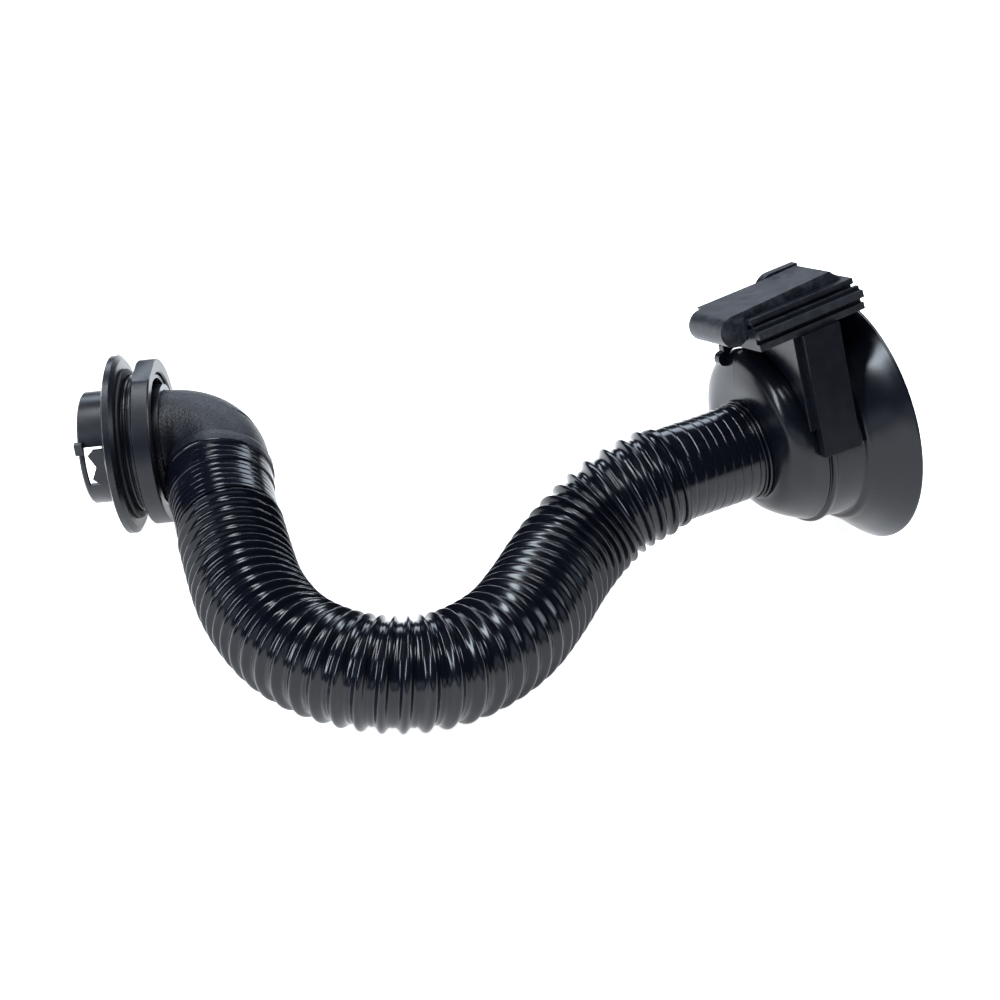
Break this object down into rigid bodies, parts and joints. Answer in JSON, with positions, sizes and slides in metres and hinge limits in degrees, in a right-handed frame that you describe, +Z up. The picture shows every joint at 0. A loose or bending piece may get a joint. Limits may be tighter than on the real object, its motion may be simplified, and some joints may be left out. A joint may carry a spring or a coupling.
{
  "type": "sewer hose kit",
  "caption": "Short corrugated hose with a swivelling bulkhead elbow and lock nut at one end and a flared rubber boot with a rail bracket and sprung lever at the other.",
  "frame": {"origin": "on the surface that the kit lies on, under the middle of the two end fittings", "axes": "+X from the bulkhead fitting to the boot, +Y away from the hose's bend, +Z up"},
  "size_m": [0.6866, 0.433, 0.2518],
  "materials": {
    "moulded_plastic": "fine spark-textured black moulding",
    "ring_plastic": "smooth black nylon",
    "seal_rubber": "soft matte black seal rubber",
    "cuff_rubber": "glossy black wound cuff with fine grooves",
    "hose_rubber": "glossy black corrugated rubber",
    "boot_rubber": "satin to glossy moulded black rubber",
    "bracket_plastic": "matte dark grey-black moulding",
    "spring_steel": "blackened spring steel"
  },
  "bodies": {
    "root": {"elbow": "moulded_plastic", "elbow_seal_1": "seal_rubber", "elbow_seal_2": "seal_rubber", "outlet_collar": "moulded_plastic", "cuff_lip": "cuff_rubber", "left_cuff": "cuff_rubber", "cuff_band": "cuff_rubber", "hose": "hose_rubber", "right_cuff": "cuff_rubber", "boot_shell": "boot_rubber", "neck_ring": "cuff_rubber", "neck_ring_inner": "cuff_rubber", "cuff_stiffener": "ring_plastic", "near_rib": "boot_rubber", "far_rib": "boot_rubber", "cross_rib": "boot_rubber", "bracket_post": "bracket_plastic", "rail": "bracket_plastic", "base_plate": "bracket_plastic", "hinge_knuckle": "bracket_plastic", "lever_pin": "spring_steel", "lever_spring": "spring_steel", "catch_ear": "bracket_plastic"},
    "bulkhead": {"spigot_body": "moulded_plastic", "flange_gasket": "seal_rubber", "retaining_ring": "ring_plastic", "latch_stop": "moulded_plastic"},
    "washer": {"thrust_washer": "ring_plastic"},
    "nut": {"lock_nut": "moulded_plastic"},
    "latch": {"latch_tongue": "moulded_plastic"},
    "lever_arm": {"lever": "bracket_plastic"}
  },
  "joints": [
    {"name": "elbow_swivel", "type": "hinge", "parent": "root", "child": "bulkhead", "pos_m": [-0.3095, 0.0093, 0.07474], "axis": [0.9936, 0, 0.1132], "continuous": true},
    {"name": "washer_slide", "type": "slide", "parent": "bulkhead", "child": "washer", "axis": [0.9936, 0, 0.1132], "range_m": [-0.00502, 0]},
    {"name": "nut_spin", "type": "hinge", "parent": "washer", "child": "nut", "pos_m": [-0.28863, 0.0093, 0.07712], "axis": [0.9936, 0, 0.1132], "range_deg": [-450, 0]},
    {"name": "latch_flex", "type": "hinge", "parent": "bulkhead", "child": "latch", "pos_m": [-0.31623, -0.0356, 0.07901], "axis": [-0.1132, 0, 0.9936], "range_deg": [-8, 0], "stiffness_Nm_per_rad": 0.3},
    {"name": "lever_hinge", "type": "hinge", "parent": "root", "child": "lever_arm", "pos_m": [0.17862, -0.05445, 0.21389], "axis": [0.408, -0.8654, 0.291], "range_deg": [0, 70], "stiffness_Nm_per_rad": 0.15, "springref_deg": -22.92}
  ],
  "couplings": [
    {"joint": "washer_slide", "follows": "nut_spin", "m_per_rad": 0.00063662}
  ]
}
